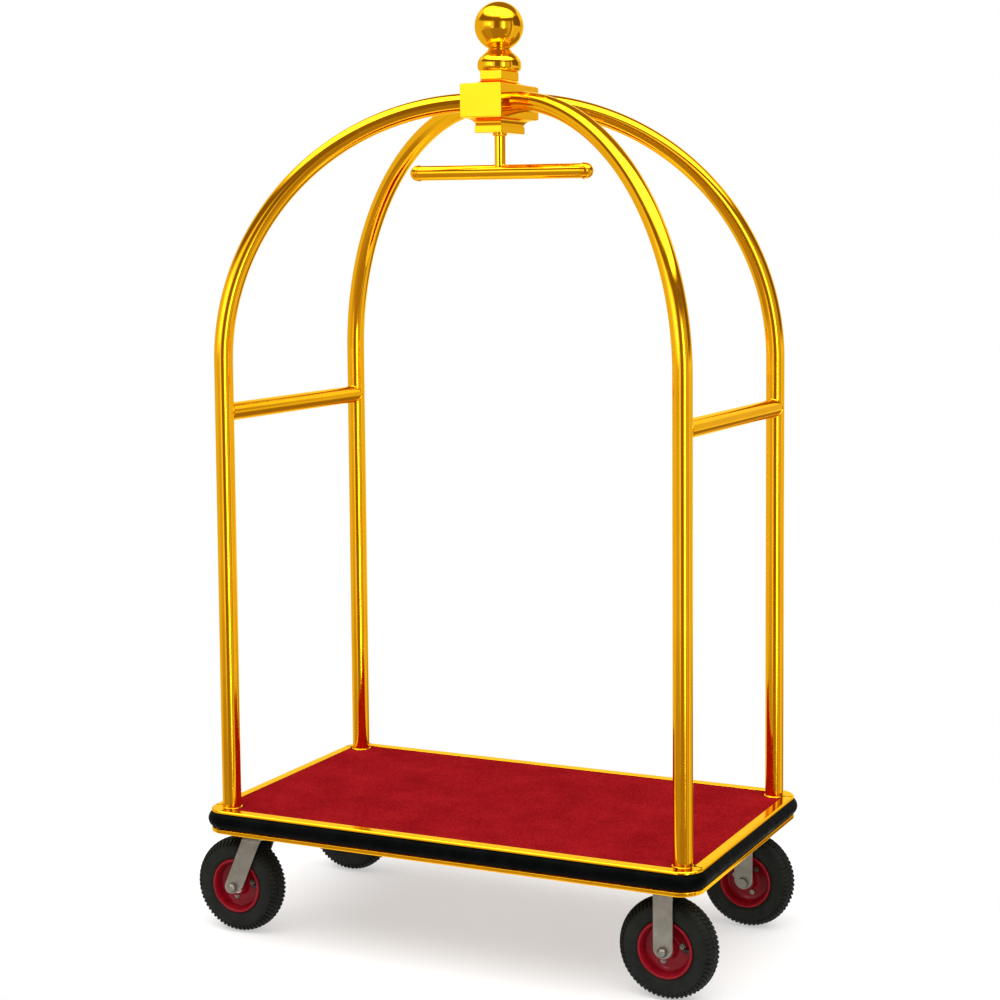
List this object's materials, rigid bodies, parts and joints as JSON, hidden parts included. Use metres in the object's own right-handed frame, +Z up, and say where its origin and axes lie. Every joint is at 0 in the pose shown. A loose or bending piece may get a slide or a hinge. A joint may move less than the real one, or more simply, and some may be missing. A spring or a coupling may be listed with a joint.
{
  "type": "luggage cart",
  "caption": "Hotel luggage cart: carpeted deck with a rubber bumper on pneumatic rigid and swivel casters, domed frame of bent tubes with a crown, ball finial and garment bar.",
  "frame": {"origin": "centre of the footprint on the floor, midway between the trailing left tyres and the right tyres; the middle of the deck is at x = +23.5 mm", "axes": "+X runs along the cart towards the rigid casters, +Y across it towards the rear side, +Z is up"},
  "size_m": [1.159, 0.614, 1.9115],
  "materials": {
    "polished_gold": "mirror polished, gold titanium plated stainless steel tube and castings",
    "carpet": "short dense red cut pile carpet",
    "bumper_rubber": "smooth black extruded rubber, slightly glossy",
    "plywood": "plain plywood, unseen under the carpet",
    "tyre_rubber": "matt black pneumatic tyre with shoulder blocks",
    "tube_rubber": "black butyl inner tube",
    "red_rim_paint": "red enamel on pressed steel",
    "plain_steel": "plain steel",
    "zinc_plate": "satin zinc plated steel"
  },
  "bodies": {
    "root": {"deck_frame": "polished_gold", "deck_panel": "plywood", "carpet": "carpet", "bumper_strip": "bumper_rubber", "cross_members": "plain_steel", "post_front_left": "polished_gold", "post_front_right": "polished_gold", "post_rear_left": "polished_gold", "post_rear_right": "polished_gold", "post_plugs": "plain_steel", "post_bolts": "zinc_plate", "side_rail_left": "polished_gold", "side_rail_right": "polished_gold", "crown_block": "polished_gold", "crown_grub_screws": "zinc_plate", "crown_cap": "polished_gold", "finial_bulb": "polished_gold", "finial_ball": "polished_gold", "crown_base": "polished_gold", "crown_tie_rod": "plain_steel", "hanger_stem": "polished_gold", "hanger_bar": "polished_gold", "hanger_end_knobs": "polished_gold", "caster_bolts": "zinc_plate", "caster_nuts": "zinc_plate", "rigid_fork_front": "zinc_plate", "rigid_fork_rear": "zinc_plate", "rigid_axle_bolts": "zinc_plate", "rigid_axle_nuts": "zinc_plate", "swivel_plates": "zinc_plate", "kingpins": "zinc_plate"},
    "caster_front": {"swivel_fork_front": "zinc_plate", "swivel_balls_front": "plain_steel", "swivel_axle_bolt_front": "zinc_plate", "swivel_axle_nut_front": "zinc_plate"},
    "caster_rear": {"swivel_fork_rear": "zinc_plate", "swivel_balls_rear": "plain_steel", "swivel_axle_bolt_rear": "zinc_plate", "swivel_axle_nut_rear": "zinc_plate"},
    "wheel_left_front": {"tyre_left_front": "tyre_rubber", "inner_tube_left_front": "tube_rubber", "rim_left_front": "red_rim_paint", "rim_bolts_left_front": "zinc_plate", "bearings_left_front": "plain_steel"},
    "wheel_left_rear": {"tyre_left_rear": "tyre_rubber", "inner_tube_left_rear": "tube_rubber", "rim_left_rear": "red_rim_paint", "rim_bolts_left_rear": "zinc_plate", "bearings_left_rear": "plain_steel"},
    "wheel_right_front": {"tyre_right_front": "tyre_rubber", "inner_tube_right_front": "tube_rubber", "rim_right_front": "red_rim_paint", "rim_bolts_right_front": "zinc_plate", "bearings_right_front": "plain_steel"},
    "wheel_right_rear": {"tyre_right_rear": "tyre_rubber", "inner_tube_right_rear": "tube_rubber", "rim_right_rear": "red_rim_paint", "rim_bolts_right_rear": "zinc_plate", "bearings_right_rear": "plain_steel"}
  },
  "joints": [
    {"name": "caster_front_swivel", "type": "hinge", "parent": "root", "child": "caster_front", "pos_m": [-0.4335, -0.22, 0.21], "axis": [0, 0, 1], "continuous": true},
    {"name": "caster_rear_swivel", "type": "hinge", "parent": "root", "child": "caster_rear", "pos_m": [-0.4335, 0.22, 0.21], "axis": [0, 0, 1], "continuous": true},
    {"name": "wheel_left_front_spin", "type": "hinge", "parent": "caster_front", "child": "wheel_left_front", "pos_m": [-0.4805, -0.22, 0.099], "axis": [0, 1, 0], "continuous": true},
    {"name": "wheel_left_rear_spin", "type": "hinge", "parent": "caster_rear", "child": "wheel_left_rear", "pos_m": [-0.4805, 0.22, 0.099], "axis": [0, 1, 0], "continuous": true},
    {"name": "wheel_right_front_spin", "type": "hinge", "parent": "root", "child": "wheel_right_front", "pos_m": [0.4805, -0.22, 0.099], "axis": [0, 1, 0], "continuous": true},
    {"name": "wheel_right_rear_spin", "type": "hinge", "parent": "root", "child": "wheel_right_rear", "pos_m": [0.4805, 0.22, 0.099], "axis": [0, 1, 0], "continuous": true}
  ]
}
